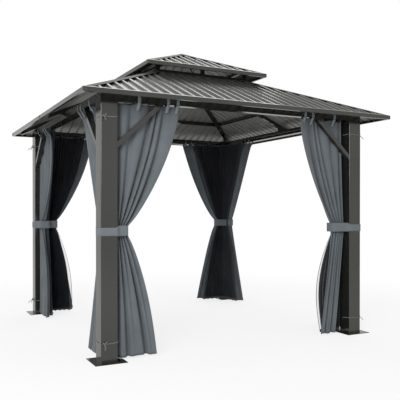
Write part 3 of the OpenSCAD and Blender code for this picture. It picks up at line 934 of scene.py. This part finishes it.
def make_screws():
    """Pan-head screws at the joint and corner covers of the eaves, and one screw on each roof slope."""
    parts = Parts()
    for low, has_joint in ((trim_low, True), (upper_low, False)):
        eave = -low.y
        places = [CORNER_SCREW_IN - eave, eave - CORNER_SCREW_IN]
        places += [-JOINT_SCREW_GAP, JOINT_SCREW_GAP] if has_joint else []
        for turn in range(len(CORNERS)):
            outward = (*turned(0, -1, turn), 0)
            for x in places:
                spot = (*turned(x, -eave - COVER_OUT, turn), low.z + SCREW_UP)
                parts.revolve(in_metres(SCREW_HEAD), spot, outward, SCREW_SIDES)
    for sheet, distance in ROOF_SCREWS:
        _, spot, slope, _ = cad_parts[sheet].ray_cast((0, -distance, ROOF_TOP), (0, 0, -1))
        for turn in range(len(CORNERS)):
            centre = (*turned(spot.x, spot.y, turn), spot.z)
            axis = (*turned(slope.x, slope.y, turn), slope.z)
            parts.revolve(in_metres(ROOF_SCREW_HEAD), centre, axis, SCREW_SIDES)
    return finish_piece(parts.piece("eave_screws"), SCREW_METAL)


# Soft goods of all corners


def declare_cloth(corner, turn):
    """Makes the two curtains and two nets of a corner, and hides the frame model's plain solids of them.
    """
    curtains = [make_curtain(corner, turn, side) for side in (0, 1)]
    nets = [make_net(corner, turn, side) for side in (0, 1)]
    for side, (curtain, net) in enumerate(zip(curtains, nets)):
        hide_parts(f"curtain_{corner}")
        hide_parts(f"net_{corner}")


def make_soft_goods():
    for turn, corner in enumerate(CORNERS):
        straps = make_straps(corner, turn)
        strings = make_strings(corner, turn)
        hooks = make_hooks(corner, turn)
        band = make_band(corner, turn)
        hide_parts("curtain_loops")
        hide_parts("tie_strings")
        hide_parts("tie_bands")
        declare_cloth(corner, turn)


# Camera

CAMERA_AT = (-2.702, -5.7257, 1.1911)
CAMERA_TILT = math.radians(89.6)
CAMERA_TURN = math.radians(-27.04)
CAMERA_SENSOR = 36
CAMERA_LENS = 53.21
CAMERA_SHIFT = 0.0354


def make_camera():
    camera = bpy.data.objects.new("camera", bpy.data.cameras.new("camera"))
    camera.location = CAMERA_AT
    camera.rotation_euler = (CAMERA_TILT, 0, CAMERA_TURN)
    camera.data.sensor_width = CAMERA_SENSOR
    camera.data.lens = CAMERA_LENS
    camera.data.shift_y = CAMERA_SHIFT
    bpy.context.scene.collection.objects.link(camera)
    bpy.context.scene.camera = camera


# World and floor

# Light of the surroundings on the part, and the white that the gloss of the paint sees of them and of
# the floor
WORLD_LIGHT = 0.65
GLOSS_WORLD = 0.78
GLOSS_FLOOR = 0.46
# Share of light that the floor throws back at the part, and the floor's own white to the eye
FLOOR_BOUNCE = 0.78
FLOOR_WHITE = 0.92
# Share of plain white that the eye sees in the floor near the part and far off, and those distances
FLOOR_GLOW = (0.80, 1.0)
FLOOR_FADE = (2.6, 5.5)
FLOOR_ROUGHNESS = 0.9
FLOOR_HALF = 40
FLOOR_DROP = 1 * MM


def make_world():
    """White to the eye and to gloss, and a plain level of light on the part."""
    world = bpy.data.worlds.new("studio")
    bpy.context.scene.world = world
    world.use_nodes = True
    nodes, links = world.node_tree.nodes, world.node_tree.links
    background = nodes["Background"]
    background.inputs["Color"].default_value = (1, 1, 1, 1)
    path = nodes.new("ShaderNodeLightPath").outputs
    seen = combine(nodes, links, path["Is Camera Ray"], path["Is Transmission Ray"], "MAXIMUM")
    plain = spread(nodes, links, seen, WORLD_LIGHT, 1.0)
    gloss = spread(nodes, links, path["Is Glossy Ray"], 0.0, GLOSS_WORLD)
    links.new(combine(nodes, links, plain, gloss, "MAXIMUM"), background.inputs["Strength"])


def floor_glow(nodes, links, seen):
    """Share of plain white in the floor, to the eye only: more of it farther from the part."""
    distance = nodes.new("ShaderNodeVectorMath")
    distance.operation = "LENGTH"
    links.new(nodes.new("ShaderNodeTexCoord").outputs["Object"], distance.inputs[0])
    fade = nodes.new("ShaderNodeMapRange")
    fade.interpolation_type = "SMOOTHSTEP"
    fade.inputs["From Min"].default_value, fade.inputs["From Max"].default_value = FLOOR_FADE
    fade.inputs["To Min"].default_value, fade.inputs["To Max"].default_value = FLOOR_GLOW
    links.new(distance.outputs["Value"], fade.inputs["Value"])
    return combine(nodes, links, fade.outputs["Result"], seen)


def floor_material():
    """Pale floor that keeps the part's shadow and runs out into plain white."""
    material, nodes, links, shader = new_material("floor")
    shader.inputs["Roughness"].default_value = FLOOR_ROUGHNESS
    shader.inputs["Specular IOR Level"].default_value = 0.0
    path = nodes.new("ShaderNodeLightPath").outputs
    seen = path["Is Camera Ray"]
    links.new(spread(nodes, links, seen, FLOOR_BOUNCE, FLOOR_WHITE), shader.inputs["Base Color"])
    glow = nodes.new("ShaderNodeEmission")
    mix = nodes.new("ShaderNodeMixShader")
    gloss = spread(nodes, links, path["Is Glossy Ray"], 0.0, GLOSS_FLOOR)
    white = combine(nodes, links, floor_glow(nodes, links, seen), gloss, "MAXIMUM")
    links.new(white, mix.inputs["Fac"])
    links.new(shader.outputs["BSDF"], mix.inputs[1])
    links.new(glow.outputs["Emission"], mix.inputs[2])
    links.new(mix.outputs["Shader"], nodes["Material Output"].inputs["Surface"])
    return material


def make_floor():
    corners = [(FLOOR_HALF * x, FLOOR_HALF * y, 0) for x, y in ((-1, -1), (1, -1), (1, 1), (-1, 1))]
    mesh = bpy.data.meshes.new("floor")
    mesh.from_pydata(corners, [], [(0, 1, 2, 3)])
    mesh.materials.append(floor_material())
    floor = bpy.data.objects.new("floor", mesh)
    floor.location.z = -FLOOR_DROP
    bpy.context.scene.collection.objects.link(floor)


# Lamps: place, aim, width in metres and power in watts

KEY_LIGHT = ((-5.6, -6.7, 3.5), (0, 0, 1.2), 4.0, 440)
SKY_LIGHT = ((2.3, 5.4, 6.4), (0, -1.0, 2.2), 6.0, 130)


def make_light(name, location, target, size, power):
    data = bpy.data.lights.new(name, "AREA")
    data.shape = "DISK"
    data.size = size
    data.energy = power
    light = bpy.data.objects.new(name, data)
    light.location = location
    direction = np.array(target) - np.array(location)
    flat = math.hypot(direction[0], direction[1])
    light.rotation_euler = (math.atan2(flat, -direction[2]), 0, math.atan2(-direction[0], direction[1]))
    bpy.context.scene.collection.objects.link(light)


dress_frame()
make_camera()
make_world()
make_floor()
make_light("key", *KEY_LIGHT)
make_light("sky", *SKY_LIGHT)
make_soft_goods()
make_screws()
bpy.context.scene.view_settings.view_transform = "Standard"
